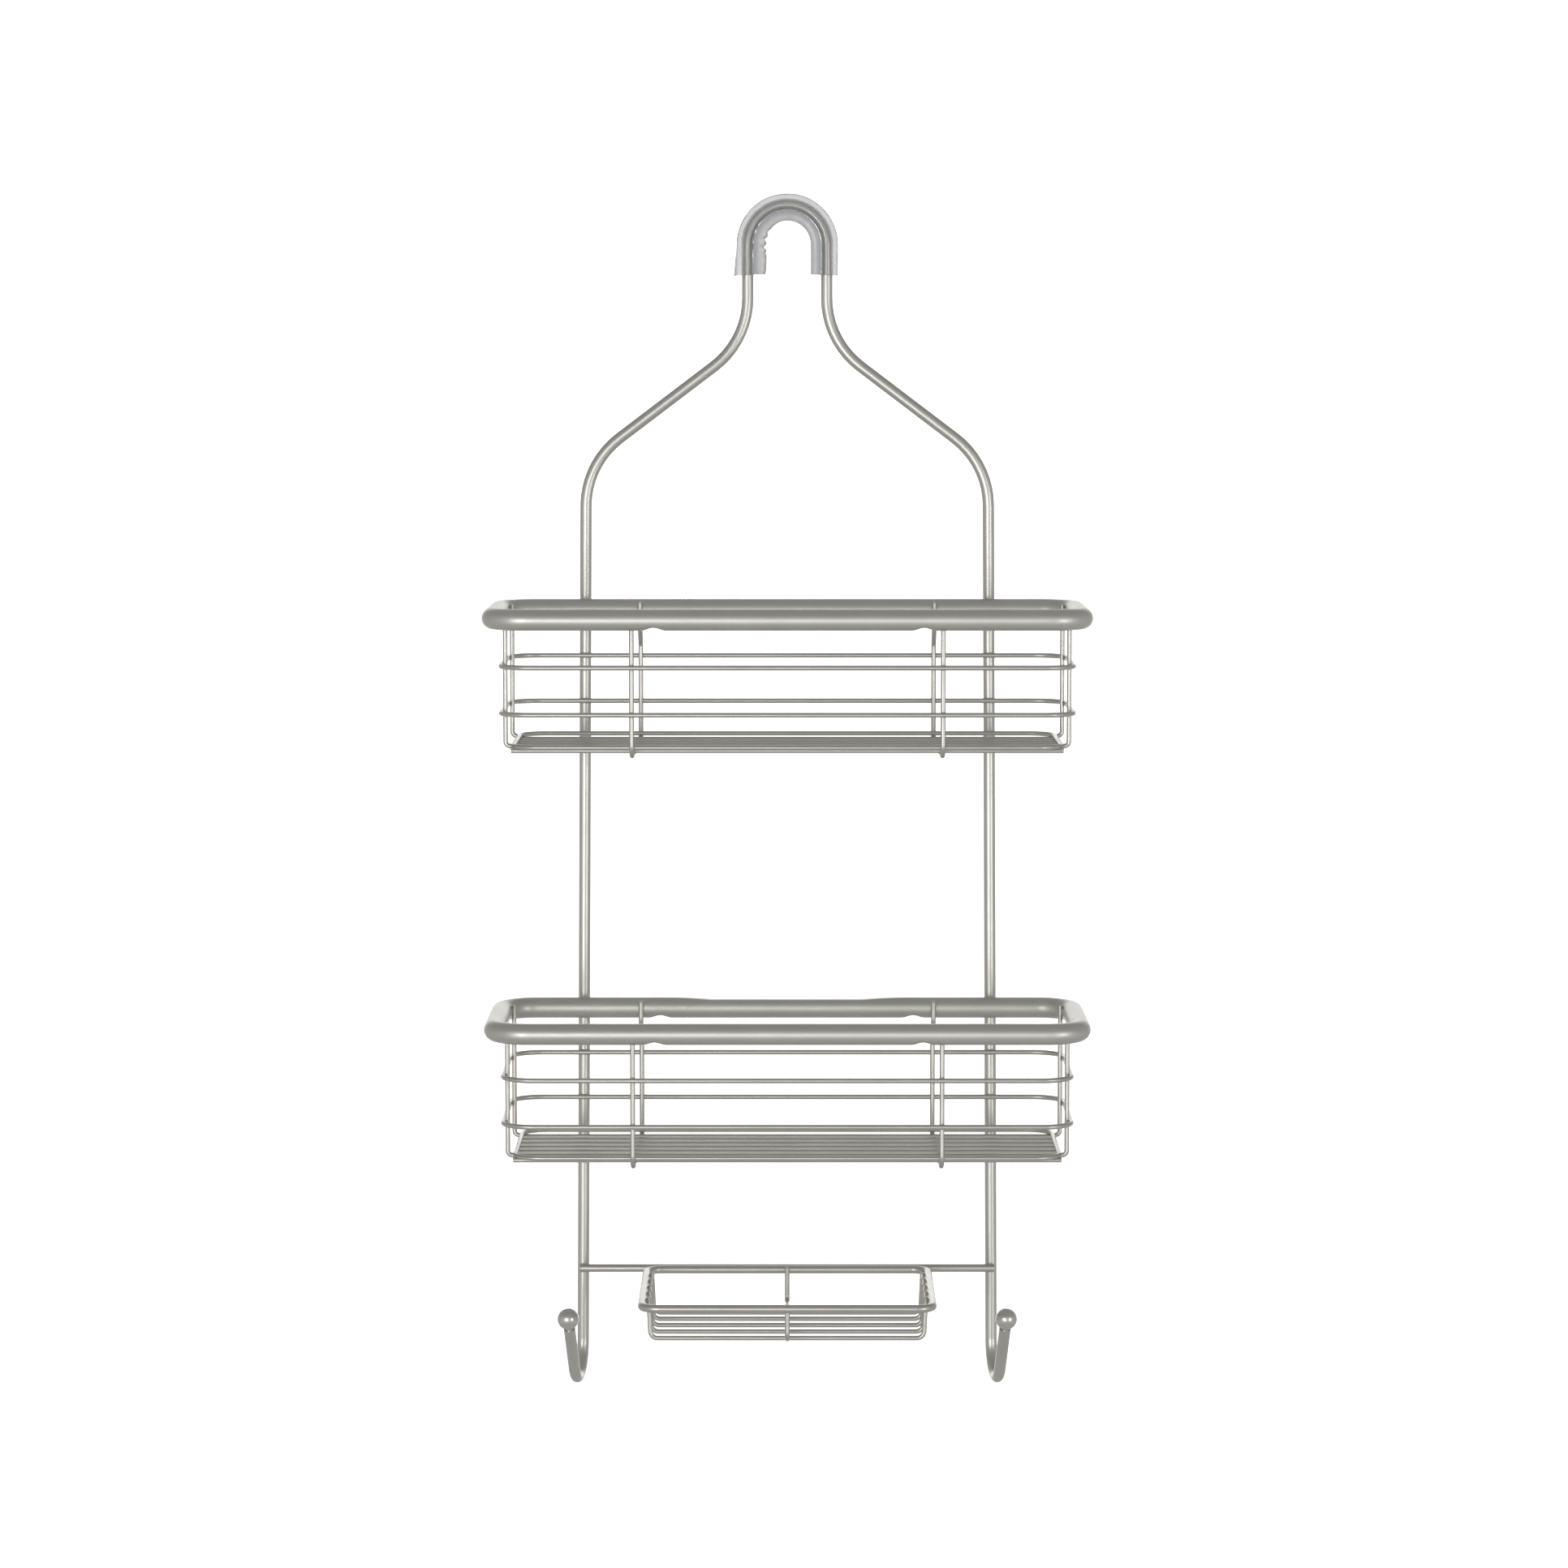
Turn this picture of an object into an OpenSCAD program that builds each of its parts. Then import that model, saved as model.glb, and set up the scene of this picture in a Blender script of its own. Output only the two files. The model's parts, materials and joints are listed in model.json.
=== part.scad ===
// Over-the-shower-arm caddy: bent rod frame, two wire baskets, a soap dish and two towel hooks.
// Units are millimetres. Z is up, the front of the caddy faces -Y.
// The origin is the centre of the hanging loop, where the shower arm lies.

/* [Hanging loop and main rods] */
// Diameter of the one bent rod that carries everything
rod_d = 6.2; // [5:0.1:8]
// Radius of the hanging loop, to the middle of the rod
loop_r = 20.8; // [19:0.1:24]
// Height of the neck corner, below the loop centre
neck_drop = 50.4; // [46:0.1:60]
// Bend radius of the neck and of the shoulders
frame_bend_r = 45; // [30:1:50]
// Half the distance between the main rods at the shoulders
shoulder_x = 106.3; // [98:0.1:118]
// Slope of the shoulders below level, degrees
shoulder_slope = 37.1; // [33:0.1:42]
// Outward lean of each main rod, degrees
rod_splay = 0.41; // [0:0.01:0.8]
// Height where the main rods end and the hooks begin, below the loop centre
rod_end_drop = 584.6; // [575:0.1:620]

/* [Towel hooks] */
// Bend radius of each hook
hook_r = 17; // [12:0.5:22]
// Turn of each hook, degrees
hook_turn = 144.8; // [120:0.5:150]
// Straight arm after the hook bend
hook_arm = 31.2; // [20:0.1:42]
// Outward swing of each hook, degrees
hook_yaw = 6.3; // [0:0.1:12]
// Diameter of the ball on each hook
ball_d = 11.4; // [10:0.1:15]
// Length of the thin neck between the rod end and the ball
neck_length = 1.2; // [0.6:0.1:3]
// Diameter of that neck
neck_d = 4.9; // [4:0.1:5.6]

/* [Grip sleeve] */
// Radius of the inner face that sits on the shower arm
sleeve_inner_r = 12.4; // [11:0.1:13]
// Thickness of the sleeve, inner face to outer face
sleeve_t = 14.3; // [13:0.1:16]
// Width of the sleeve, front to back
sleeve_w = 14; // [12:0.5:18]
// Rounding of the sleeve edges
sleeve_edge_r = 2.6; // [1:0.1:3]
// How far the sleeve runs down the legs below the loop centre
sleeve_drop = 16; // [8:0.5:22]
// Gap between the sleeve and the rod inside it
sleeve_gap = 0.1; // [0.05:0.01:0.3]
// Width of the slit along the inner face
sleeve_slit = 1.0; // [0.6:0.1:2]

/* [Baskets] */
// Outside width of each basket at the rim
basket_w = 313; // [260:1:380]
// Outside depth of each basket at the rim
basket_d = 110; // [95:1:132]
// Height of the upper rim, below the loop centre
upper_rim_drop = 191.7; // [170:0.1:200]
// Height of the lower rim, below the loop centre
lower_rim_drop = 404; // [340:1:430]
// Diameter of the rim tube
rim_d = 11; // [9:0.1:13.5]
// Corner radius of the rim, to the middle of the tube
rim_corner_r = 18; // [14:0.5:24]
// Diameter of the two hoops of each basket
hoop_d = 2.6; // [2:0.1:4]
// Diameter of the legs, the floor frame and the floor wires
wire_d = 2.5; // [2:0.1:3.5]
// Diameter of the cross wires
cross_d = 2.6; // [2:0.1:4]
// Corner radius of the hoops, to the middle of the wire
hoop_corner_r = 16; // [12:0.5:22]
// Drop from the rim centre to the first hoop
hoop_1_drop = 24.7; // [20:0.1:30]
// Drop from the rim centre to the second hoop
hoop_2_drop = 48.8; // [42:0.1:55]
// Drop from the rim centre to the floor frame
floor_drop = 65.8; // [58:0.1:80]
// How far the floor frame is set in from the end legs
floor_inset = 3.6; // [3.2:0.1:6]
// Corner radius of the floor frame, to the middle of the wire
floor_corner_r = 14; // [10:0.5:20]
// Number of floor wires in each basket
floor_wires = 7; // [5:1:9]
// Distance from the floor frame's front and rear wires to the nearest floor wire
floor_edge_gap = 7.95; // [4:0.05:12]
// Half length of the floor wires beyond the floor frame centreline
floor_overhang = 0.8; // [0:0.1:1.2]
// Where the cross wires stand in front, from the middle
cross_x_front = 79.5; // [60:0.5:100]
// Where the cross wires stand at the back, from the middle
cross_x_rear = 77.5; // [60:0.5:100]

/* [Soap dish] */
// Height of the crossbar and of the dish rim, below the loop centre
dish_drop = 545.4; // [535:1:560]
// Diameter of the crossbar and of the dish rim wire
dish_rim_d = 4.3; // [3.5:0.1:5.5]
// Outside width of the dish
dish_w = 154.1; // [120:0.1:190]
// Outside depth of the dish
dish_depth = 108.7; // [90:1:130]
// Corner radius of the dish rim, to the middle of the wire
dish_corner_r = 8.5; // [5:0.5:20]
// Diameter of the lengthwise dish wires
dish_wire_d = 2.5; // [2:0.1:3.5]
// Diameter of the cross wire, which lies on the lengthwise wires
dish_cross_d = 2.6; // [2:0.1:4]
// Drop from the dish rim to the lengthwise wires
dish_wire_drop = 19.3; // [14:0.1:28]
// Number of lengthwise dish wires
dish_wires = 5; // [3:1:7]
// Distance from the dish rim's front and rear wires to the nearest lengthwise wire
dish_edge_gap = 19.6; // [12:0.1:26]
// Bend radius of the dish wires
dish_bend_r = 3.8; // [3:0.1:8]
// How much narrower the lengthwise wires are at the bottom, on each side
dish_leg_lean = 1; // [0:0.1:5]

/* [Joining] */
// How far one welded wire sinks into its neighbour
weld_sink = 0.25; // [0.1:0.05:0.4]

/* [Hidden] */
$fn = 48;
rod_r = rod_d / 2;
// straight lengths of a bent wire run a little way into the bends and are a hair thinner there
joint_lap = 0.2;
joint_step = 0.03;

// main rods: corner points of the bent rod, in X and Z
shoulder_z = -neck_drop - (shoulder_x - loop_r) * tan(shoulder_slope);
rod_end_z = -rod_end_drop;
rod_end_x = shoulder_x + (shoulder_z - rod_end_z) * tan(rod_splay);

// basket, in X
rim_half = basket_w / 2 - rim_d / 2;
leg_x = rim_half - rim_d / 2 - wire_d / 2 + weld_sink;
hoop_half = leg_x + wire_d / 2 + hoop_d / 2 - weld_sink;
floor_half = leg_x - floor_inset;

// basket, in Y: the back of the rims and hoops lies on the front of the main rods
rim_rear_y = -(rod_r + rim_d / 2 - weld_sink);
rim_front_y = rim_rear_y - (basket_d - rim_d);
hoop_rear_y = -(rod_r + hoop_d / 2 - weld_sink);
cross_front_y = rim_front_y + rim_d / 2 + cross_d / 2 - weld_sink;
cross_top_y = rim_rear_y - rim_d / 2 - cross_d / 2 + weld_sink;
cross_rear_y = hoop_rear_y - hoop_d / 2 - cross_d / 2 + weld_sink;
hoop_front_y = cross_front_y - cross_d / 2 - hoop_d / 2 + weld_sink;
floor_front_y = cross_front_y + cross_d / 2 + wire_d / 2 - weld_sink;
floor_rear_y = cross_rear_y - cross_d / 2 - wire_d / 2 + weld_sink;
floor_mid_y = (floor_front_y + floor_rear_y) / 2;
function floor_side_inset(y) =
    let (into = max(0, floor_front_y + floor_corner_r - y, y - floor_rear_y + floor_corner_r))
    floor_corner_r - sqrt(max(0, floor_corner_r * floor_corner_r - into * into));
floor_pitch = (floor_rear_y - floor_front_y - 2 * floor_edge_gap) / (floor_wires - 1);
leg_front_y = hoop_front_y + hoop_corner_r - 1;
leg_rear_y = rim_rear_y - rim_corner_r + 1;

// basket, in Z below the rim centre
floor_wire_z = -floor_drop - wire_d + weld_sink;
cross_low_z = floor_wire_z - wire_d / 2 - cross_d / 2 + weld_sink;
leg_bend_r = floor_inset - wire_d / 2 + weld_sink / 2;
leg_top_z = rim_d * 0.28;
cross_top_z = rim_d * 0.36;

// soap dish
bar_y = -(rod_r + dish_rim_d / 2 - weld_sink);
bar_half = shoulder_x + (shoulder_z + dish_drop) * tan(rod_splay) + 1.6;
dish_half = dish_w / 2 - dish_rim_d / 2;
dish_rear_y = bar_y - dish_rim_d + weld_sink;
dish_front_y = dish_rear_y - (dish_depth - dish_rim_d);
dish_mid_y = (dish_rear_y + dish_front_y) / 2;
dish_pitch = (dish_rear_y - dish_front_y - 2 * dish_edge_gap) / (dish_wires - 1);
dish_leg_x = dish_half - dish_rim_d / 2 - dish_wire_d / 2 + weld_sink;
dish_wire_z = -dish_wire_drop;
dish_cross_z = dish_wire_z + dish_wire_d / 2 + dish_cross_d / 2 - weld_sink;
dish_leg_front_y = dish_front_y + dish_rim_d / 2 + dish_cross_d / 2 - weld_sink;
dish_leg_rear_y = dish_rear_y - dish_rim_d / 2 - dish_cross_d / 2 + weld_sink;

// names of the repeated pieces
tiers = ["upper", "lower"];
tier_z = [-upper_rim_drop, -lower_rim_drop];
sides = ["left", "right"];
side_sign = [-1, 1];
ends = ["front", "rear"];
end_y = [leg_front_y, leg_rear_y];

// ---------- shared shapes ----------

function unit(v) = v / norm(v);
function heading(p, i) = unit(p[i + 1] - p[i]);
function turn(p, i) =
    let (a = heading(p, i - 1), b = heading(p, i))
    atan2(a[0] * b[1] - a[1] * b[0], a[0] * b[0] + a[1] * b[1]);
function tangent_length(p, r, i) =
    (i <= 0 || i >= len(p) - 1) ? 0 : r[i] * tan(abs(turn(p, i)) / 2);

// a round wire bent in the XY plane: corner points p, bend radius r at each point
module bent_wire(p, r, d) {
    for (i = [0:len(p) - 2]) {
        a = heading(p, i);
        t0 = tangent_length(p, r, i);
        t1 = tangent_length(p, r, i + 1);
        h = norm(p[i + 1] - p[i]) - t0 - t1;
        e0 = t0 > 0 ? joint_lap : 0;
        e1 = t1 > 0 ? joint_lap : 0;
        translate([p[i][0] + a[0] * (t0 - e0), p[i][1] + a[1] * (t0 - e0), 0])
            rotate([0, 0, atan2(a[1], a[0])])
                rotate([0, 90, 0])
                    cylinder(h = h + e0 + e1, d = d - joint_step);
    }
    for (i = [1:1:len(p) - 2]) {
        a = heading(p, i - 1);
        q = turn(p, i);
        t = tangent_length(p, r, i);
        side = q > 0 ? 1 : -1;
        cx = p[i][0] - a[0] * t - a[1] * r[i] * side;
        cy = p[i][1] - a[1] * t + a[0] * r[i] * side;
        start = atan2(a[1], a[0]) - 90 * side;
        translate([cx, cy, 0])
            rotate([0, 0, q > 0 ? start : start + q])
                rotate_extrude(angle = abs(q))
                    translate([r[i], 0])
                        circle(d = d);
    }
}

// a closed wire loop with round corners, lying level
module wire_loop(half_x, y_front, y_rear, corner_r, d) {
    for (y = [y_front, y_rear])
        translate([-half_x + corner_r, y, 0])
            rotate([0, 90, 0])
                cylinder(h = 2 * (half_x - corner_r), d = d);
    for (x = [-half_x, half_x])
        translate([x, y_rear - corner_r, 0])
            rotate([90, 0, 0])
                cylinder(h = y_rear - y_front - 2 * corner_r, d = d);
    for (c = [[half_x - corner_r, y_rear - corner_r, 0],
              [-half_x + corner_r, y_rear - corner_r, 90],
              [-half_x + corner_r, y_front + corner_r, 180],
              [half_x - corner_r, y_front + corner_r, 270]])
        translate([c[0], c[1], 0])
            rotate([0, 0, c[2]])
                rotate_extrude(angle = 90)
                    translate([corner_r, 0])
                        circle(d = d);
}

// drawing plane seen from the front: X stays, Y becomes up
module front_plane() {
    rotate([90, 0, 0])
        children();
}

// drawing plane seen from the side: X becomes forward, Y becomes up
module side_plane() {
    rotate([90, 0, -90])
        children();
}

// ---------- main rods, sleeve, hooks ----------

// the place and lean of one hook: s is -1 for left, 1 for right
module at_hook(s) {
    translate([s * rod_end_x, 0, rod_end_z])
        rotate([0, -s * rod_splay, 0])
            rotate([0, 0, s * hook_yaw])
                children();
}

module main_frame() {
    lap_x = rod_end_x + joint_lap * sin(rod_splay);
    lap_z = rod_end_z - joint_lap * cos(rod_splay);
    hook_t = hook_r * tan(hook_turn / 2);
    hook_h = hook_turn - 90;
    hook_pts = [
        [0, 0],
        [0, -hook_t],
        [(hook_t + hook_arm) * cos(hook_h), -hook_t + (hook_t + hook_arm) * sin(hook_h)]
    ];
    color([0.68, 0.67, 0.63]) {
        front_plane()
            rotate_extrude(angle = 180)
                translate([loop_r, 0])
                    circle(d = rod_d);
        for (s = [-1, 1])
            front_plane()
                bent_wire([[s * loop_r, joint_lap], [s * loop_r, -neck_drop],
                           [s * shoulder_x, shoulder_z], [s * lap_x, lap_z]],
                          [0, frame_bend_r, frame_bend_r, 0], rod_d);
        for (s = [-1, 1])
            at_hook(s)
                side_plane()
                    bent_wire(hook_pts, [0, hook_r, 0], rod_d);
    }
}

module hook_ball(s) {
    color([0.72, 0.71, 0.67])
        at_hook(s)
            side_plane()
                translate([hook_r - hook_r * cos(hook_turn), -hook_r * sin(hook_turn), 0])
                    rotate([0, 0, hook_turn - 90])
                        rotate([0, 90, 0])
                            union() {
                                translate([0, 0, hook_arm + neck_length + ball_d / 2])
                                    sphere(d = ball_d);
                                translate([0, 0, hook_arm - weld_sink])
                                    cylinder(h = neck_length + ball_d / 3, d = neck_d);
                            }
}

// sleeve section: X is the distance from the loop centre, Y is the width
module sleeve_section() {
    e = sleeve_edge_r;
    difference() {
        union() {
            translate([sleeve_inner_r + e, -sleeve_w / 2])
                square([sleeve_t - 2 * e, sleeve_w]);
            translate([sleeve_inner_r, -sleeve_w / 2 + e])
                square([sleeve_t, sleeve_w - 2 * e]);
            for (x = [sleeve_inner_r + e, sleeve_inner_r + sleeve_t - e])
                for (y = [-sleeve_w / 2 + e, sleeve_w / 2 - e])
                    translate([x, y])
                        circle(r = e);
        }
        translate([loop_r, 0])
            circle(d = rod_d + 2 * sleeve_gap);
        translate([sleeve_inner_r - 1, -sleeve_slit / 2])
            square([loop_r - sleeve_inner_r + 1, sleeve_slit]);
    }
}

module grip_sleeve() {
    color([0.88, 0.90, 0.90, 0.6]) {
        front_plane()
            rotate_extrude(angle = 180)
                sleeve_section();
        for (s = [0, 180])
            rotate([0, 0, s])
                translate([0, 0, -sleeve_drop])
                    linear_extrude(height = sleeve_drop)
                        sleeve_section();
    }
}

// ---------- baskets ----------

module basket_rim() {
    color([0.74, 0.73, 0.69])
        wire_loop(rim_half, rim_front_y, rim_rear_y, rim_corner_r, rim_d);
}

module basket_hoop(drop) {
    color([0.70, 0.69, 0.65])
        translate([0, 0, -drop])
            wire_loop(hoop_half, hoop_front_y, hoop_rear_y, hoop_corner_r, hoop_d);
}

// upright leg inside the rim and hoops, its foot turned in and welded to the floor frame
module basket_leg(s, y) {
    foot_x = floor_half + wire_d / 2 - weld_sink - floor_side_inset(y);
    color([0.70, 0.69, 0.65])
        translate([0, y, 0])
            front_plane()
                bent_wire([[s * leg_x, leg_top_z], [s * leg_x, -floor_drop], [s * foot_x, -floor_drop]],
                          [0, leg_bend_r - weld_sink / 2, 0], wire_d);
}

module floor_frame() {
    color([0.70, 0.69, 0.65])
        translate([0, 0, -floor_drop])
            wire_loop(floor_half, floor_front_y, floor_rear_y, floor_corner_r, wire_d);
}

module floor_wire(i) {
    half = floor_half + floor_overhang;
    y = floor_mid_y + ((floor_wires + 1) / 2 - i) * floor_pitch;
    color([0.66, 0.65, 0.61])
        translate([-half, y, floor_wire_z])
            rotate([0, 90, 0])
                cylinder(h = 2 * half, d = wire_d);
}

// front-to-back wire: up inside the rim at both ends, under the floor wires,
// cranked forward at the back to pass in front of the thicker rim
module cross_wire(s) {
    run = cross_front_y - cross_rear_y;
    yaw = atan2(s * (cross_x_front - cross_x_rear), -run);
    span = norm([cross_x_front - cross_x_rear, run]);
    top_span = span + cross_top_y - cross_rear_y;
    crank_low = -hoop_1_drop + 6;
    crank_high = -rim_d / 2 - 1;
    color([0.70, 0.69, 0.65])
        translate([s * cross_x_rear, cross_rear_y, 0])
            rotate([0, 0, yaw])
                side_plane()
                    bent_wire([[span, cross_top_z], [span, cross_low_z], [0, cross_low_z],
                               [0, crank_low], [span - top_span, crank_high],
                               [span - top_span, cross_top_z]],
                              [0, 6, 6, 5, 5, 0], cross_d);
}

// ---------- soap dish ----------

module crossbar() {
    color([0.70, 0.69, 0.65])
        translate([-bar_half, bar_y, -dish_drop])
            rotate([0, 90, 0])
                cylinder(h = 2 * bar_half, d = dish_rim_d);
}

module dish_rim() {
    color([0.72, 0.71, 0.67])
        translate([0, 0, -dish_drop])
            wire_loop(dish_half, dish_front_y, dish_rear_y, dish_corner_r, dish_rim_d);
}

module dish_wire(i) {
    top = dish_rim_d * 0.4;
    low_x = dish_leg_x - dish_leg_lean;
    color([0.70, 0.69, 0.65])
        translate([0, dish_mid_y + ((dish_wires + 1) / 2 - i) * dish_pitch, -dish_drop])
            front_plane()
                bent_wire([[-dish_leg_x, top], [-low_x, dish_wire_z],
                           [low_x, dish_wire_z], [dish_leg_x, top]],
                          [0, dish_bend_r, dish_bend_r, 0], dish_wire_d);
}

module dish_cross_wire() {
    top = dish_rim_d * 0.3;
    color([0.70, 0.69, 0.65])
        translate([0, 0, -dish_drop])
            side_plane()
                bent_wire([[-dish_leg_front_y, top], [-dish_leg_front_y, dish_cross_z],
                           [-dish_leg_rear_y, dish_cross_z], [-dish_leg_rear_y, top]],
                          [0, dish_bend_r, dish_bend_r, 0], dish_cross_d);
}

// ---------- nodes ----------

main_frame();
grip_sleeve();
for (k = [0, 1])
    hook_ball(side_sign[k]);
for (t = [0, 1])
    translate([0, 0, tier_z[t]]) {
        basket_rim();
        basket_hoop(hoop_1_drop);
        basket_hoop(hoop_2_drop);
        for (e = [0, 1])
            for (k = [0, 1])
                basket_leg(side_sign[k], end_y[e]);
        floor_frame();
        for (i = [1:floor_wires])
            floor_wire(i);
        for (k = [0, 1])
            cross_wire(side_sign[k]);
    }
crossbar();
dish_rim();
for (i = [1:dish_wires])
    dish_wire(i);
dish_cross_wire();
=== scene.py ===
import json
import math

import bmesh
import bpy
import mathutils
from mathutils import Matrix, Vector


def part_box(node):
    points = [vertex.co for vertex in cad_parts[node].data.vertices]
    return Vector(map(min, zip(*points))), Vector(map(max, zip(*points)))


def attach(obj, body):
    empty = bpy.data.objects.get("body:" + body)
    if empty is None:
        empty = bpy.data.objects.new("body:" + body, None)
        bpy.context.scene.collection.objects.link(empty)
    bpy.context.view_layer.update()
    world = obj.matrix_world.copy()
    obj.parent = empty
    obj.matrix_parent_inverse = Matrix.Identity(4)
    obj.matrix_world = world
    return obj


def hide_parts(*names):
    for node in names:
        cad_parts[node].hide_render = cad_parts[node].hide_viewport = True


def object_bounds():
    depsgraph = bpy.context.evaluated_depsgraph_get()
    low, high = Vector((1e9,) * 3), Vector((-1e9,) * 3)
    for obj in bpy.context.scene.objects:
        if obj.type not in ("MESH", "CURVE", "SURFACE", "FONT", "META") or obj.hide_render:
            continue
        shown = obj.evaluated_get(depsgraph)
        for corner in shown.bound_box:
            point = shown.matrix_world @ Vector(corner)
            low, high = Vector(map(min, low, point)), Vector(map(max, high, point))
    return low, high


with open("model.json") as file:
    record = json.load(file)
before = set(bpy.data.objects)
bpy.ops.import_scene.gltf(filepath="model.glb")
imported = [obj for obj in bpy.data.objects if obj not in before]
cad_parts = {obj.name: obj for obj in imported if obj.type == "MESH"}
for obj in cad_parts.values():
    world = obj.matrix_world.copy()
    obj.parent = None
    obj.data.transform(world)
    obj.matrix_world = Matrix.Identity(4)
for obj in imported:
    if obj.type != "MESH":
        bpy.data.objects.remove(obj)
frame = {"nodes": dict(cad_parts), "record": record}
cad_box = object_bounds()

MM = 0.001
UP = Vector((0, 0, 1))

# camera: where the eye stands (metres), how far it looks down, and the lens on its sensor
EYE = Vector((-0.0017, -2.5164, -0.0518))
LOOK_DOWN = math.radians(5.3)
LENS = 109.04
SENSOR = 36.0

# sizes that the CAD boxes don't give directly, in metres
WIRE_R = 1.25 * MM
HOOP_R = 1.3 * MM
RIM_R = 5.5 * MM
RIM_CORNER = 18 * MM
ROD_R = 3.1 * MM
DISH_RIM_R = 2.15 * MM
LOOP_R = 20.8 * MM
# the main rods spread a little from the top of the caddy to its foot
ROD_TOP_X = 106.3 * MM
ROD_LOW_X = 109.6 * MM
FLOOR_ROWS = 7
DISH_ROWS = 5


# ---------- materials ----------

# pattern scales (repeats per metre) and relief of the metal and of the vinyl
CLOUD_SCALE = 38.0
GLOSS_SCALE = 160.0
PEEL_SCALE = 200.0
PEEL_STRENGTH = 0.06
PEEL_DEPTH = 0.03 * MM
HAZE_SCALE = 160.0
MARK_SCALE = 420.0
MARK_STRENGTH = 0.18
MARK_DEPTH = 0.3 * MM
# painted light and shade on the sleeve, from its inner lip to its outer face, as a share of the way
# between two distances from the middle of the loop: dark painted outlines at both edges, a painted
# shade stripe and bright bands between
PAINTED_SHADE_FROM = 12 * MM
PAINTED_SHADE_TO = 27 * MM
SLEEVE_PAINTED_SHADE_BANDS = (
    (0.02, (0.66, 0.65, 0.65)), (0.07, (1.0, 0.99, 0.98)), (0.19, (0.97, 0.96, 0.95)),
    (0.27, (0.84, 0.845, 0.86)), (0.36, (0.76, 0.775, 0.80)), (0.48, (0.88, 0.88, 0.88)),
    (0.58, (1.0, 1.0, 1.0)), (0.93, (1.0, 1.0, 1.0)), (0.975, (0.60, 0.60, 0.61)),
)
HAZE_TONES = ((0.3, (0.85, 0.85, 0.85)), (0.7, (0.93, 0.93, 0.93)))


def new_material(name):
    material = bpy.data.materials.new(name)
    material.use_nodes = True
    tree = material.node_tree
    return material, tree, tree.nodes["Principled BSDF"]


def object_place(tree):
    return tree.nodes.new("ShaderNodeTexCoord").outputs["Object"]


def split_up(tree, vector):
    node = tree.nodes.new("ShaderNodeSeparateXYZ")
    tree.links.new(vector, node.inputs["Vector"])
    return node.outputs


def noise(tree, coordinates, scale, detail=4.0, roughness=0.55):
    node = tree.nodes.new("ShaderNodeTexNoise")
    node.inputs["Scale"].default_value = scale
    node.inputs["Detail"].default_value = detail
    node.inputs["Roughness"].default_value = roughness
    tree.links.new(coordinates, node.inputs["Vector"])
    return node.outputs["Fac"]


def ramp(tree, factor, stops):
    node = tree.nodes.new("ShaderNodeValToRGB")
    elements = node.color_ramp.elements
    while len(elements) < len(stops):
        elements.new(0.5)
    for element, (place, colour) in zip(elements, stops):
        element.position = place
        element.color = (*colour, 1.0)
    tree.links.new(factor, node.inputs["Fac"])
    return node.outputs["Color"]


def ranged(tree, factor, low, high, from_low=0.3, from_high=0.7):
    """Maps a range of the factor to low..high, and holds the end values outside it."""
    node = tree.nodes.new("ShaderNodeMapRange")
    node.inputs["From Min"].default_value = from_low
    node.inputs["From Max"].default_value = from_high
    node.inputs["To Min"].default_value = low
    node.inputs["To Max"].default_value = high
    tree.links.new(factor, node.inputs["Value"])
    return node.outputs["Result"]


def sums(tree, operation, *values):
    """One Math node; each value is a number or another node's output."""
    node = tree.nodes.new("ShaderNodeMath")
    node.operation = operation
    for value, socket in zip(values, node.inputs):
        if isinstance(value, float):
            socket.default_value = value
        else:
            tree.links.new(value, socket)
    return node.outputs["Value"]


def bumped(tree, shader, height, strength, distance):
    bump = tree.nodes.new("ShaderNodeBump")
    bump.inputs["Strength"].default_value = strength
    bump.inputs["Distance"].default_value = distance
    tree.links.new(height, bump.inputs["Height"])
    tree.links.new(bump.outputs["Normal"], shader.inputs["Normal"])


def satin_nickel(name, light, dark, rough_low, rough_high):
    """Satin nickel plate: cloudy colour, uneven gloss and a soft orange-peel surface."""
    material, tree, shader = new_material(name)
    place = object_place(tree)
    clouds = ramp(tree, noise(tree, place, CLOUD_SCALE), [(0.3, dark), (0.7, light)])
    gloss = ranged(tree, noise(tree, place, GLOSS_SCALE), rough_low, rough_high)
    tree.links.new(clouds, shader.inputs["Base Color"])
    tree.links.new(gloss, shader.inputs["Roughness"])
    bumped(tree, shader, noise(tree, place, PEEL_SCALE, 1.0), PEEL_STRENGTH, PEEL_DEPTH)
    shader.inputs["Metallic"].default_value = 1.0
    return material


def loop_reach(tree, place):
    """Distance from the middle of the loop on the arch, and from the middle plane on the legs."""
    parts = split_up(tree, place)
    above = ranged(tree, parts["Z"], 0.0, 1.0, 0.0, 1.0)
    flat = tree.nodes.new("ShaderNodeCombineXYZ")
    tree.links.new(parts["X"], flat.inputs["X"])
    tree.links.new(above, flat.inputs["Z"])
    reach = tree.nodes.new("ShaderNodeVectorMath")
    reach.operation = "LENGTH"
    tree.links.new(flat.outputs["Vector"], reach.inputs[0])
    return reach.outputs["Value"]


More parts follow.
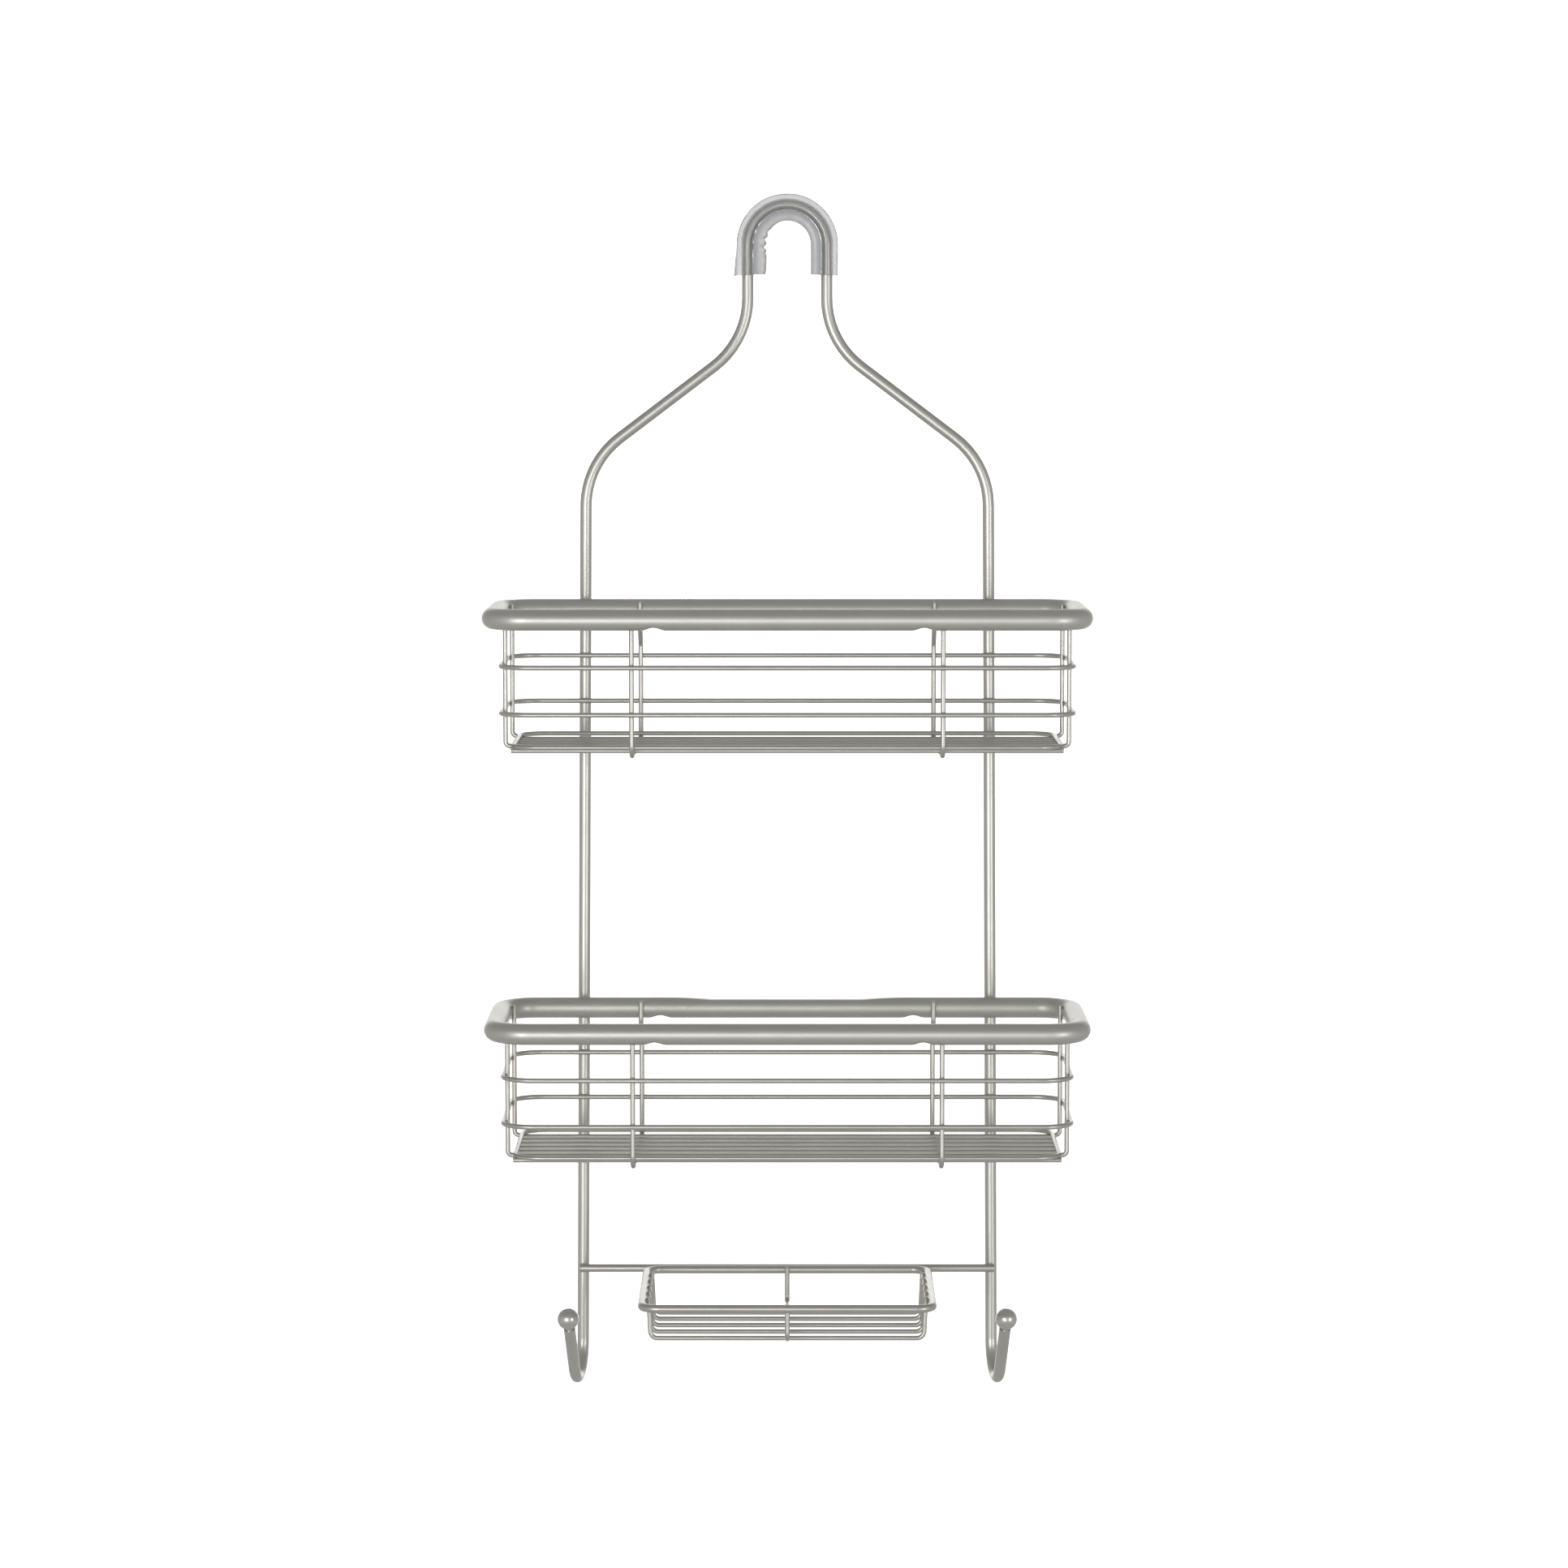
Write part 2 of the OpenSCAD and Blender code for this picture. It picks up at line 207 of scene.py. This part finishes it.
def clear_vinyl(name):
    """Soft clear tube: hazy, with flow marks, and with painted light and shade in bands from its lip
    outwards.
    """
    material, tree, shader = new_material(name)
    place = object_place(tree)
    haze = noise(tree, place, HAZE_SCALE)
    # painted light and shade: a ramp over the distance from the loop's middle darkens both edges and a
    # stripe inside the lip
    shade_bands = ranged(tree, loop_reach(tree, place), 0.0, 1.0, PAINTED_SHADE_FROM, PAINTED_SHADE_TO)
    # the haze is the vinyl's own random tone; the painted light and shade bands are multiplied over it
    haze_and_painted_shade = tree.nodes.new("ShaderNodeMix")
    haze_and_painted_shade.data_type = "RGBA"
    haze_and_painted_shade.blend_type = "MULTIPLY"
    haze_and_painted_shade.inputs["Factor"].default_value = 1.0
    tree.links.new(ramp(tree, haze, HAZE_TONES), haze_and_painted_shade.inputs["A"])
    tree.links.new(ramp(tree, shade_bands, SLEEVE_PAINTED_SHADE_BANDS), haze_and_painted_shade.inputs["B"])
    tree.links.new(haze_and_painted_shade.outputs["Result"], shader.inputs["Base Color"])
    tree.links.new(ranged(tree, haze, 0.04, 0.11), shader.inputs["Roughness"])
    bumped(tree, shader, noise(tree, place, MARK_SCALE, 3.0), MARK_STRENGTH, MARK_DEPTH)
    shader.inputs["Transmission Weight"].default_value = 0.86
    shader.inputs["IOR"].default_value = 1.45
    shader.inputs["Specular IOR Level"].default_value = 0.3
    return material


def studio_floor(name):
    """Pale floor that glows white, so it meets the white room with no edge; its mottle barely shows."""
    material, tree, shader = new_material(name)
    pale = (0.93, 0.93, 0.93)
    mottle = tuple(value * 0.985 for value in pale)
    tones = ramp(tree, noise(tree, object_place(tree), 3.0), [(0.3, mottle), (0.7, pale)])
    tree.links.new(tones, shader.inputs["Base Color"])
    shader.inputs["Roughness"].default_value = 0.6
    shader.inputs["Emission Color"].default_value = (1.0, 1.0, 1.0, 1.0)
    shader.inputs["Emission Strength"].default_value = 1.0
    return material


LOOKS = {
    "rod": satin_nickel("rod", (0.63, 0.62, 0.58), (0.59, 0.58, 0.54), 0.34, 0.38),
    "tube": satin_nickel("tube", (0.64, 0.63, 0.59), (0.60, 0.59, 0.55), 0.40, 0.44),
    "wire": satin_nickel("wire", (0.60, 0.585, 0.545), (0.55, 0.535, 0.495), 0.32, 0.38),
    "ball": satin_nickel("ball", (0.66, 0.65, 0.61), (0.61, 0.60, 0.56), 0.20, 0.26),
    "sleeve": clear_vinyl("sleeve"),
}
SHARP = 40
SLEEVE_SHARP = 55


def smooth(mesh, sharp=SHARP):
    mesh.shade_smooth()
    mesh.set_sharp_from_angle(angle=math.radians(sharp))


for part in frame["record"]["subparts"]:
    cad_mesh = frame["nodes"][part["node"]].data
    cad_mesh.materials.clear()
    cad_mesh.materials.append(LOOKS[part["material_slot"]])
    smooth(cad_mesh)


# ---------- mesh helpers ----------

def add_piece(name, mesh_data, slot, stands_for=(), sharp=SHARP):
    """Turns a bmesh into a piece that rides on the caddy and takes its finish from a slot."""
    bmesh.ops.recalc_face_normals(mesh_data, faces=mesh_data.faces)
    mesh = bpy.data.meshes.new(name)
    mesh_data.to_mesh(mesh)
    mesh_data.free()
    piece = bpy.data.objects.new(name, mesh)
    bpy.context.scene.collection.objects.link(piece)
    mesh.materials.append(LOOKS[slot])
    smooth(mesh, sharp)
    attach(piece, "root")
    if stands_for:
        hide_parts(*stands_for)
    return piece


def skin(mesh_data, rings, closed):
    """Joins rings of points into a tube; an open tube gets flat ends."""
    rows = [[mesh_data.verts.new(point) for point in ring] for ring in rings]
    around = len(rows[0])
    spans = list(zip(rows, rows[1:] + rows[:1])) if closed else list(zip(rows, rows[1:]))
    for row, following in spans:
        for i in range(around):
            j = (i + 1) % around
            mesh_data.faces.new((row[i], row[j], following[j], following[i]))
    if not closed:
        ends = [mesh_data.faces.new(rows[0][::-1]), mesh_data.faces.new(rows[-1])]
        bmesh.ops.triangulate(mesh_data, faces=ends)


def corners(node):
    """Low corner, high corner and centre of a CAD node's box."""
    low, high = (Vector(corner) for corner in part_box(node))
    return low, high, (low + high) / 2


# ---------- basket rims ----------

# presses in the underside of each rim, from the middle, and the butt seam in its rear length
RIM_DENTS = {"front": (-68.0 * MM, 69.5 * MM), "rear": (-67.5 * MM, 67.0 * MM)}
DENT_DEPTH = 1.6 * MM
DENT_HALF = 6.6 * MM
RIM_SEAM_X = -53.5 * MM
SEAM_SWELL, SEAM_SWELL_HALF = 0.012, 1.4 * MM
SEAM_GROOVE, SEAM_GROOVE_HALF = 0.035, 0.3 * MM
# the lower rim's rear length is a little flattened on top in the middle
FLAT_DEPTH = {"upper": 0.0, "lower": 1.0 * MM}
FLAT_HALF = 66 * MM
FLAT_FADE = 3
# spacing of the rings: along straight runs, close to the seam, round a corner and round the tube
RUN_STEP = 1.5 * MM
SEAM_STEPS = [step * MM for step in (0.15, 0.3, 0.45, 0.6, 0.8, 1.0, 1.3, 1.7, 2.2)]
CORNER_STEP = 5
RING_POINTS = 32


def stations(start, end, seams=()):
    """Points along a straight run, closer together next to a seam."""
    length = (end - start).length
    count = max(2, round(length / RUN_STEP))
    places = {i / count for i in range(1, count)}
    for seam in seams:
        at = (seam - start.x) / (end.x - start.x)
        for gap in [0.0] + SEAM_STEPS + [-step for step in SEAM_STEPS]:
            places.add(at + gap / length)
    return [start.lerp(end, place) for place in sorted(places)]


def level_loop(half_x, y_front, y_rear, corner, seams=()):
    """Closed level path with round corners: pairs of a point and its outward direction."""
    centres = [(half_x - corner, y_front + corner, -90), (half_x - corner, y_rear - corner, 0),
               (-half_x + corner, y_rear - corner, 90), (-half_x + corner, y_front + corner, 180)]
    path = []
    for k, (cx, cy, start) in enumerate(centres):
        centre = Vector((cx, cy, 0))
        for i in range(90 // CORNER_STEP + 1):
            angle = math.radians(start + CORNER_STEP * i)
            out = Vector((math.cos(angle), math.sin(angle), 0))
            path.append((centre + out * corner, out))
        following = Vector((*centres[(k + 1) % 4][:2], 0))
        run = stations(centre + out * corner, following + out * corner, seams if k == 1 else ())
        path += [(point, out.copy()) for point in run]
    return path


def pressed(depth, lift, radius):
    """How far a point at height lift on a tube moves when its underside is pressed in by depth."""
    over = lift + radius - depth
    soft = depth * 0.35 + 1e-6
    return -radius + depth + (over + math.sqrt(over * over + soft * soft)) / 2 - lift


def dent_at(x, side):
    """Depth of the press in the underside at one place along a rim."""
    depth = 0.0
    for dent in RIM_DENTS[side]:
        away = abs(x - dent) / DENT_HALF
        if away < 1:
            depth = DENT_DEPTH * math.cos(away * math.pi / 2) ** 2
    return depth


def flat_at(x, tier):
    """Depth of the flattening on top at one place along a rear length."""
    if abs(x) >= FLAT_HALF:
        return 0.0
    fade = FLAT_FADE * math.cos(x / FLAT_HALF * math.pi / 2) ** 2
    return FLAT_DEPTH[tier] * min(1.0, fade)


def seam_scale(x):
    """The butt seam swells the tube slightly and has a fine groove in the middle."""
    away = abs(x - RIM_SEAM_X)
    swell = SEAM_SWELL * math.exp(-(away / SEAM_SWELL_HALF) ** 2)
    groove = SEAM_GROOVE * math.exp(-(away / SEAM_GROOVE_HALF) ** 2)
    return 1 + swell - groove


def rim_piece(tier):
    name = tier + "_rim"
    low, high, centre = corners(name)
    half_x = (high.x - low.x) / 2 - RIM_R
    path = level_loop(half_x, low.y + RIM_R, high.y - RIM_R, RIM_CORNER, seams=(RIM_SEAM_X,))
    rings = []
    for point, out in path:
        rear = point.y > centre.y
        straight = abs(point.x) < half_x - RIM_CORNER
        press = dent_at(point.x, "rear" if rear else "front") if straight else 0.0
        flat = flat_at(point.x, tier) if rear else 0.0
        radius = RIM_R * (seam_scale(point.x) if rear else 1)
        ring = []
        for i in range(RING_POINTS):
            turn = 2 * math.pi * i / RING_POINTS
            lift = radius * math.sin(turn)
            if press > 0:
                lift += pressed(press, lift, RIM_R)
            if flat > 0:
                lift -= pressed(flat, -lift, RIM_R)
            ring.append(point + out * (radius * math.cos(turn)) + UP * (centre.z + lift))
        rings.append(ring)
    data = bmesh.new()
    skin(data, rings, closed=True)
    add_piece(name + "_tube", data, "tube", (name,))


# ---------- grip sleeve ----------

# the section, measured from the rod's centre line: inner and outer face, half width, rounding,
# bore and half the slit
SLEEVE_INNER = -8.4 * MM
SLEEVE_OUTER = 5.9 * MM
SLEEVE_HALF = 7.0 * MM
SLEEVE_EDGE = 2.6 * MM
SLEEVE_BORE = 3.2 * MM
SLIT_HALF = 0.5 * MM
SLEEVE_LEG = 16 * MM
# points further out than this are skin, not bore, and those past the next are the inner lip
SKIN_REACH = 3.4 * MM
LIP_REACH = 5.5 * MM
# uneven skin: how fast it varies (per metre) and how far it moves
WAVE_SCALE, WAVE = 110, 0.14 * MM
# the left leg up to this height: its foot leans out, its lip stands in, its outer face has a step
WORN_BELOW = 17 * MM
LEAN = 1.1 * MM
BULGE, BULGE_Z, BULGE_HALF = 1.7 * MM, -4 * MM, 14.5 * MM
STEP_BELOW, STEP_REACH, STEP = -6.3 * MM, 4 * MM, 0.35 * MM
# torn nicks in the inner edge of the left leg: height, depth and half length
NICKS = ((6.6 * MM, 0.9 * MM, 0.8 * MM), (2.7 * MM, 2.0 * MM, 0.9 * MM),
         (-1.4 * MM, 2.4 * MM, 0.9 * MM), (-4.6 * MM, 0.8 * MM, 0.7 * MM))
TEAR_SCALE, TEAR_LEAST, TEAR_SPREAD = 700, 0.9, 0.8
# cut ends: from this share of the leg down they slant about a line off the rod's centre
END_FROM = 0.6
END_SLANT = 0.07
END_PIVOT = 1.2 * MM
END_SIDES = {-1: -1, 1: -0.6}
END_SCALE, END_ROUGH = 400, 0.18 * MM
LEG_STEPS = 34
ARCH_STEPS = 72
FACE_STEPS = 6
ROUND_STEPS = 6
SLIT_STEPS = 4
BORE_STEPS = 24


def between(start, end, count):
    return [(start[0] + (end[0] - start[0]) * i / count, start[1] + (end[1] - start[1]) * i / count)
            for i in range(count)]


def arc(cx, cy, radius, start, end, count):
    turns = [math.radians(start + (end - start) * i / count) for i in range(count + 1)]
    return [(cx + radius * math.cos(t), cy + radius * math.sin(t)) for t in turns]


def sleeve_section():
    """Closed outline: rounded block, split to the rod bore from its inner face."""
    high = SLEEVE_HALF - SLEEVE_EDGE
    left, right = SLEEVE_INNER + SLEEVE_EDGE, SLEEVE_OUTER - SLEEVE_EDGE
    mouth = math.degrees(math.asin(SLIT_HALF / SLEEVE_BORE))
    mouth_x = -SLEEVE_BORE * math.cos(math.radians(mouth))
    line = between((SLEEVE_INNER, SLIT_HALF), (SLEEVE_INNER, high), SLIT_STEPS)
    line += arc(left, high, SLEEVE_EDGE, 180, 90, ROUND_STEPS)
    line += between((left, SLEEVE_HALF), (right, SLEEVE_HALF), FACE_STEPS)[1:]
    line += arc(right, high, SLEEVE_EDGE, 90, 0, ROUND_STEPS)
    line += between((SLEEVE_OUTER, high), (SLEEVE_OUTER, -high), FACE_STEPS)[1:]
    line += arc(right, -high, SLEEVE_EDGE, 0, -90, ROUND_STEPS)
    line += between((right, -SLEEVE_HALF), (left, -SLEEVE_HALF), FACE_STEPS)[1:]
    line += arc(left, -high, SLEEVE_EDGE, -90, -180, ROUND_STEPS)
    line += between((SLEEVE_INNER, -high), (SLEEVE_INNER, -SLIT_HALF), SLIT_STEPS)[1:]
    line += between((SLEEVE_INNER, -SLIT_HALF), (mouth_x, -SLIT_HALF), SLIT_STEPS)
    line += arc(0, 0, SLEEVE_BORE, 180 + mouth, 540 - mouth, BORE_STEPS)
    line += between((mouth_x, SLIT_HALF), (SLEEVE_INNER, SLIT_HALF), SLIT_STEPS)[1:]
    return line


def sleeve_stops():
    """Centre and outward direction of each section, and its leg: -1 left, 1 right, 0 the arch."""
    left = Vector((-1, 0, 0))
    right = Vector((1, 0, 0))
    stops = []
    for i in range(LEG_STEPS):
        drop = -SLEEVE_LEG + SLEEVE_LEG * i / LEG_STEPS
        stops.append((Vector((-LOOP_R, 0, drop)), left, -1))
    for i in range(ARCH_STEPS + 1):
        turn = math.pi * (1 - i / ARCH_STEPS)
        out = Vector((math.cos(turn), 0, math.sin(turn)))
        stops.append((out * LOOP_R, out, 0))
    for i in range(1, LEG_STEPS + 1):
        stops.append((Vector((LOOP_R, 0, -SLEEVE_LEG * i / LEG_STEPS)), right, 1))
    return stops


def nicked_lip(place):
    """How far the left lip moves in X: it stands in, and loses what the nicks tore out."""
    tear = sum(depth * math.exp(-((place.z - height) / half) ** 2)
               for height, depth, half in NICKS)
    ragged = TEAR_LEAST + TEAR_SPREAD * mathutils.noise.noise(place * TEAR_SCALE)
    bulge = BULGE * math.exp(-((place.z - BULGE_Z) / BULGE_HALF) ** 4)
    return bulge - tear * ragged


def sleeve_point(centre, out, leg, a, b):
    """One point of the sleeve: a outwards and b across from the rod's centre line."""
    place = centre + out * a + Vector((0, b, 0))
    is_skin = max(abs(a), abs(b)) > SKIN_REACH
    if is_skin:
        place += out * (mathutils.noise.noise(place * WAVE_SCALE) * WAVE)
    low = max(0.0, -place.z / SLEEVE_LEG)
    if place.x < 0 and place.z < WORN_BELOW:
        if is_skin and a > -LIP_REACH:
            place.x -= LEAN * low ** 1.5
        if a < -LIP_REACH:
            place += Vector((nicked_lip(place), 0, 0))
        if a > STEP_REACH and place.z < STEP_BELOW:
            place.x -= STEP
    if leg and low > END_FROM:
        slant = END_SLANT * (a + END_PIVOT) * END_SIDES[leg]
        rough = mathutils.noise.noise(place * END_SCALE) * END_ROUGH
        place.z += (slant + rough) * (low - END_FROM) / (1 - END_FROM)
    return place


def sleeve_piece():
    section = sleeve_section()
    rings = [[sleeve_point(centre, out, leg, a, b) for a, b in section]
             for centre, out, leg in sleeve_stops()]
    data = bmesh.new()
    skin(data, rings, closed=False)
    add_piece("grip_sleeve_vinyl", data, "sleeve", ("grip_sleeve",), sharp=SLEEVE_SHARP)


# ---------- welds and wire ends ----------

# half sizes of each kind of weld bead along X, Y and Z, and how far above the joint's middle it
# sits, all in millimetres
BEAD_SIZES = {
    "leg to rim": (0.6, 1.3, 2.3, 0.4),
    "leg to hoop": (0.5, 1.1, 1.1, 0.0),
    "foot to floor frame": (0.7, 1.35, 1.0, 0.0),
    "cross wire to front rim": (1.3, 0.6, 2.2, 0.6),
    "cross wire to rear rim": (1.35, 0.6, 2.4, 1.0),
    "cross wire to level wire": (1.1, 0.5, 1.1, 0.0),
    "floor wire to cross wire": (1.15, 1.15, 0.55, 0.0),
    "floor wire to floor frame": (1.1, 1.1, 0.5, 0.0),
    "rod to rim": (2.0, 0.8, 2.4, 0.0),
    "rod to hoop": (1.3, 0.6, 1.3, 0.0),
    "dish wire to rim": (0.55, 1.2, 1.5, 0.1),
    "dish wire to cross wire": (1.2, 1.2, 0.55, 0.0),
    "dish cross wire to rim": (1.3, 0.6, 1.5, 0.1),
    "dish rim to crossbar": (3.2, 0.9, 1.1, 0.0),
    "crossbar to rod": (2.1, 0.9, 1.9, 0.0),
}
BEAD_GRAIN, BEAD_UNEVEN = 1100, 0.16
# how far the rounded end of a wire stands up
TIP_LOW = 0.45 * MM
TIP_DISH_CROSS = 0.6 * MM
TIP_HIGH = 0.7 * MM
HOOP_BEAD_INSET = 0.1 * MM
# places of the welds along the crossbar, from the middle, and of its end welds from its ends
CROSSBAR_WELDS = (20 * MM, 58 * MM)
CROSSBAR_END = 2.6 * MM


class Beads:
    """Collects small lens-shaped weld beads and rounded wire ends into one piece."""

    def __init__(self, name, slot):
        self.name = name
        self.slot = slot
        self.data = bmesh.new()

    def bead(self, kind, x, y, z):
        rx, ry, rz, lift = BEAD_SIZES[kind]
        made = bmesh.ops.create_uvsphere(self.data, u_segments=14, v_segments=8, radius=MM,
                                         matrix=Matrix.Diagonal((rx, ry, rz, 1.0)))
        here = Vector((x, y, z + lift * MM))
        for vert in made["verts"]:
            uneven = 1 + BEAD_UNEVEN * mathutils.noise.noise((vert.co + here) * BEAD_GRAIN)
            vert.co = here + vert.co * uneven

    def tip(self, x, y, z, radius, height=TIP_LOW):
        size = Matrix.Diagonal((radius, radius, height, 1.0))
        place = Matrix.Translation((x, y, z))
        bmesh.ops.create_uvsphere(self.data, u_segments=18, v_segments=8, radius=1.0,
                                  matrix=place @ size)

    def done(self):
        add_piece(self.name, self.data, self.slot)


def leg_beads(welds, tier, side, sign, rim, hoops, floor):
    for end in ("front", "rear"):
        low, high, leg = corners("%s_%s_%s_leg" % (tier, end, side))
        face, inner = (low.x, high.x) if sign < 0 else (high.x, low.x)
        welds.bead("leg to rim", face, leg.y, rim.z)
        welds.tip(face - sign * WIRE_R, leg.y, high.z, WIRE_R)
        for hoop in hoops:
            welds.bead("leg to hoop", face, leg.y, hoop.z)
        welds.bead("foot to floor frame", inner, leg.y, floor.z)


def basket_beads(tier):
    welds = Beads(tier + "_basket_welds", "wire")
    _, rim_high, rim = corners(tier + "_rim")
    hoop_boxes = [corners(tier + "_top_hoop"), corners(tier + "_bottom_hoop")]
    hoops = [centre for _, _, centre in hoop_boxes]
    floor_low, floor_high, floor = corners(tier + "_floor_frame")
    rows = [corners("%s_floor_wire_%d" % (tier, i + 1))[2] for i in range(FLOOR_ROWS)]
    rear_y = hoop_boxes[0][1].y - 2 * HOOP_R
    rim_face = rim_high.y - 2 * RIM_R
    down = 1 - (rim.z - cad_box[0][2]) / (cad_box[1][2] - cad_box[0][2])
    for side, sign in (("left", -1), ("right", 1)):
        leg_beads(welds, tier, side, sign, rim, hoops, floor)
        low, high, _ = corners("%s_%s_cross_wire" % (tier, side))
        front_x = (low.x if sign < 0 else high.x) - sign * HOOP_R
        rear_x = (high.x if sign < 0 else low.x) + sign * HOOP_R
        welds.bead("cross wire to front rim", front_x, low.y, rim.z)
        welds.bead("cross wire to rear rim", rear_x, rim_face, rim.z)
        welds.tip(front_x, low.y + HOOP_R, high.z, HOOP_R)
        welds.tip(rear_x, rim_face - HOOP_R, high.z, HOOP_R, TIP_HIGH)
        for hoop in hoops:
            welds.bead("cross wire to level wire", front_x, low.y + HOOP_BEAD_INSET, hoop.z)
            welds.bead("cross wire to level wire", rear_x, rear_y, hoop.z)
        for y, x in ((floor_low.y, front_x), (floor_high.y, rear_x)):
            welds.bead("cross wire to level wire", x, y, floor.z)
        for row in rows:
            along = (row.y - low.y) / (rear_y - low.y)
            welds.bead("floor wire to cross wire", front_x + (rear_x - front_x) * along, row.y,
                       row.z - WIRE_R)
        for row in rows:
            welds.bead("floor wire to floor frame", sign * (floor_high.x - WIRE_R), row.y,
                       floor.z - WIRE_R)
        rod_x = sign * (ROD_TOP_X + (ROD_LOW_X - ROD_TOP_X) * down)
        welds.bead("rod to rim", rod_x, -ROD_R, rim.z)
        for hoop in hoops:
            welds.bead("rod to hoop", rod_x, -ROD_R, hoop.z)
    welds.done()


def dish_beads():
    welds = Beads("dish_welds", "wire")
    _, rim_high, rim = corners("dish_rim")
    _, bar_high, bar = corners("crossbar")
    for i in range(DISH_ROWS):
        low, high, wire = corners("dish_wire_%d" % (i + 1))
        for sign, face in ((-1, low.x), (1, high.x)):
            welds.bead("dish wire to rim", face, wire.y, rim.z)
            welds.tip(face - sign * WIRE_R, wire.y, high.z, WIRE_R, TIP_HIGH)
        welds.bead("dish wire to cross wire", 0, wire.y, low.z + 2 * WIRE_R)
    low, high, _ = corners("dish_cross_wire")
    for face, inward in ((low.y, 1), (high.y, -1)):
        welds.bead("dish cross wire to rim", 0, face, rim.z)
        welds.tip(0, face + inward * HOOP_R, high.z, HOOP_R, TIP_DISH_CROSS)
    for sign in (-1, 1):
        for x in CROSSBAR_WELDS:
            welds.bead("dish rim to crossbar", sign * x, (bar.y + rim_high.y - DISH_RIM_R) / 2, rim.z)
        welds.bead("crossbar to rod", sign * (bar_high.x - CROSSBAR_END), -ROD_R, bar.z)
    welds.done()


for tier in ("upper", "lower"):
    rim_piece(tier)
    basket_beads(tier)
dish_beads()
sleeve_piece()


# ---------- floor, room, lights and camera ----------

FLOOR_DROP = 0.55
FLOOR_SIZE = 14.0
FLOOR_BACK = 2.0
# brightness of the room above and below the caddy, what a level view towards the front or the
# side adds, what the white wall behind adds, and what shows through the clear sleeve
ROOM_ABOVE = 0.35
ROOM_BELOW = 0.47
FRONT_GLOW = 0.30
SIDE_GLOW = 0.08
WALL_GLOW = 1.25
WALL_THROUGH = 0.84
SIDE_THROUGH = 0.30
# where each of these fades, as parts of a direction of length 1: up or down, to the front, to
# the wall, from below to above, and to the front or the wall through the sleeve
LEVEL_FADE = (0.0, 0.7)
FRONT_FADE = (-0.9, 0.1)
WALL_FADE = (0.84, 0.95)
HEIGHT_FADE = (-0.4, 0.4)
THROUGH_FADE = (0.35, 0.92)
# softboxes: name, degrees to the right of the front, width and height in metres, watts
SOFTBOXES = (("left_softbox", -19.0, 1.25, 0.9, 11.2), ("right_softbox", 42.0, 0.8, 0.9, 6.0))
SOFTBOX_AWAY = 2.3
SOFTBOX_TILT = -0.05
SOFTBOX_AIM = Vector((0, -0.05, -0.3))


def add_floor():
    low = cad_box[0][2] - FLOOR_DROP
    bpy.ops.mesh.primitive_plane_add(size=FLOOR_SIZE, location=(0, FLOOR_BACK, low))
    floor = bpy.context.object
    floor.name = "floor"
    floor.data.materials.append(studio_floor("floor"))
    floor.visible_glossy = False
    floor.visible_diffuse = False
    floor.visible_transmission = False


def add_room():
    """White to the camera; metal and clear vinyl each see their own brightness by direction."""
    world = bpy.data.worlds.new("studio")
    bpy.context.scene.world = world
    world.use_nodes = True
    tree = world.node_tree
    background = tree.nodes["Background"]
    background.inputs["Color"].default_value = (1.0, 1.0, 1.0, 1.0)
    way = split_up(tree, tree.nodes.new("ShaderNodeTexCoord").outputs["Generated"])
    steep = sums(tree, "ABSOLUTE", way["Z"])
    level = ranged(tree, steep, 1.0, 0.0, *LEVEL_FADE)
    front = ranged(tree, way["Y"], FRONT_GLOW, SIDE_GLOW, *FRONT_FADE)
    wall = ranged(tree, way["Y"], 0.0, WALL_GLOW, *WALL_FADE)
    dim = ranged(tree, way["Z"], ROOM_BELOW, ROOM_ABOVE, *HEIGHT_FADE)
    glow = sums(tree, "MULTIPLY", level, front)
    room = sums(tree, "ADD", sums(tree, "ADD", glow, dim), wall)
    spread = sums(tree, "ABSOLUTE", way["Y"])
    clear = ranged(tree, spread, SIDE_THROUGH, WALL_THROUGH, *THROUGH_FADE)
    path = tree.nodes.new("ShaderNodeLightPath")
    refracted = path.outputs["Is Transmission Ray"]
    room = sums(tree, "MULTIPLY", room, sums(tree, "SUBTRACT", 1.0, refracted))
    room = sums(tree, "ADD", room, sums(tree, "MULTIPLY", clear, refracted))
    strength = sums(tree, "MAXIMUM", room, path.outputs["Is Camera Ray"])
    tree.links.new(strength, background.inputs["Strength"])


def add_softboxes():
    for name, azimuth, wide, tall, power in SOFTBOXES:
        light = bpy.data.lights.new(name, "AREA")
        light.shape = "RECTANGLE"
        light.size = wide
        light.size_y = tall
        light.energy = power
        lamp = bpy.data.objects.new(name, light)
        turn = math.radians(azimuth)
        way = Vector((math.sin(turn), -math.cos(turn), SOFTBOX_TILT))
        lamp.location = SOFTBOX_AIM + way * SOFTBOX_AWAY
        lamp.rotation_euler = (SOFTBOX_AIM - lamp.location).to_track_quat("-Z", "Y").to_euler()
        lamp.visible_camera = False
        bpy.context.scene.collection.objects.link(lamp)


def add_camera():
    data = bpy.data.cameras.new("camera")
    data.sensor_width = SENSOR
    data.lens = LENS
    data.clip_end = 50.0
    eye = bpy.data.objects.new("camera", data)
    eye.location = EYE
    eye.rotation_euler = (math.pi / 2 - LOOK_DOWN, 0.0, 0.0)
    bpy.context.scene.collection.objects.link(eye)
    bpy.context.scene.camera = eye


add_floor()
add_room()
add_softboxes()
add_camera()
bpy.context.scene.view_settings.view_transform = "Standard"
